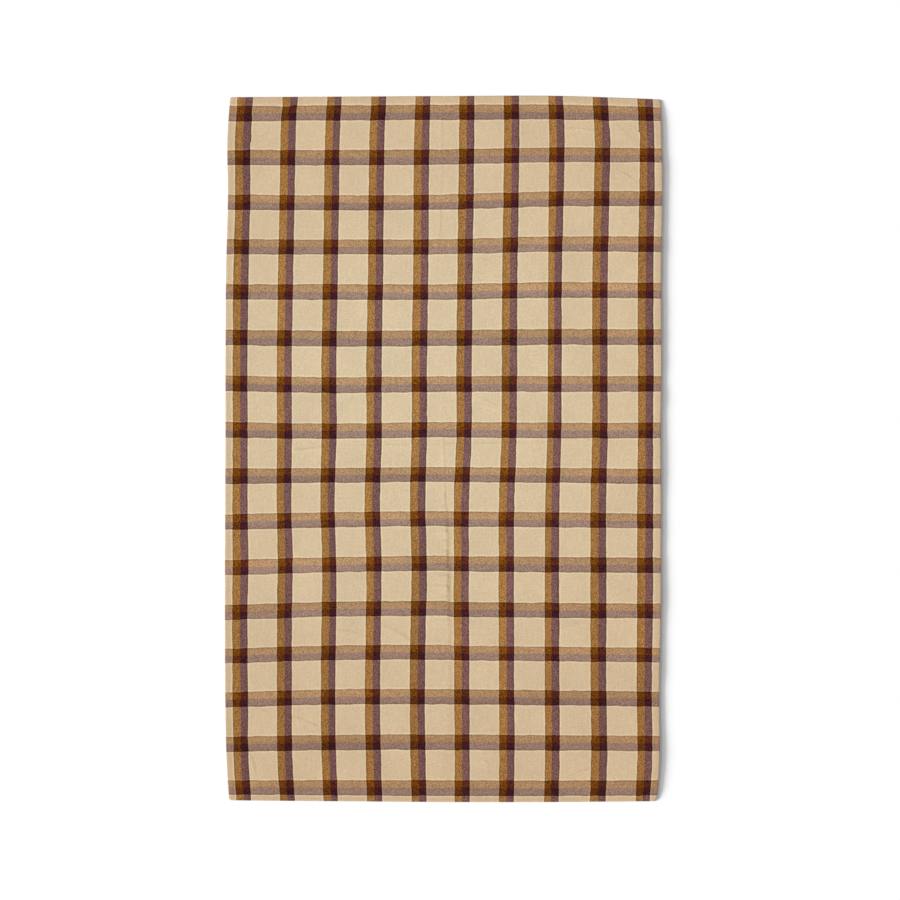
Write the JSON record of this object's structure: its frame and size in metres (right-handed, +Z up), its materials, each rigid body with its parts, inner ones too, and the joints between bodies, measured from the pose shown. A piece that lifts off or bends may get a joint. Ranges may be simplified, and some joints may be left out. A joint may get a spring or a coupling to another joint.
{
  "type": "tablecloth",
  "caption": "Flat rectangular tablecloth of woven window check cloth with narrow turned hems, laid out with its soft packing folds, to cover a dining table.",
  "frame": {"origin": "on the surface that the cloth lies on, under the middle of its outline", "axes": "+X across the cloth, with the ochre band of each pair on the -X side; +Y along the cloth, with the ochre band of each pair on the +Y side; +Z up, out of the cloth's face"},
  "size_m": [1.609, 2.6001, 0.0048],
  "materials": {
    "cloth": "matt plain weave, cream ground with ochre and plum bands both ways"
  },
  "bodies": {
    "root": {"cloth": "cloth"}
  },
  "joints": []
}
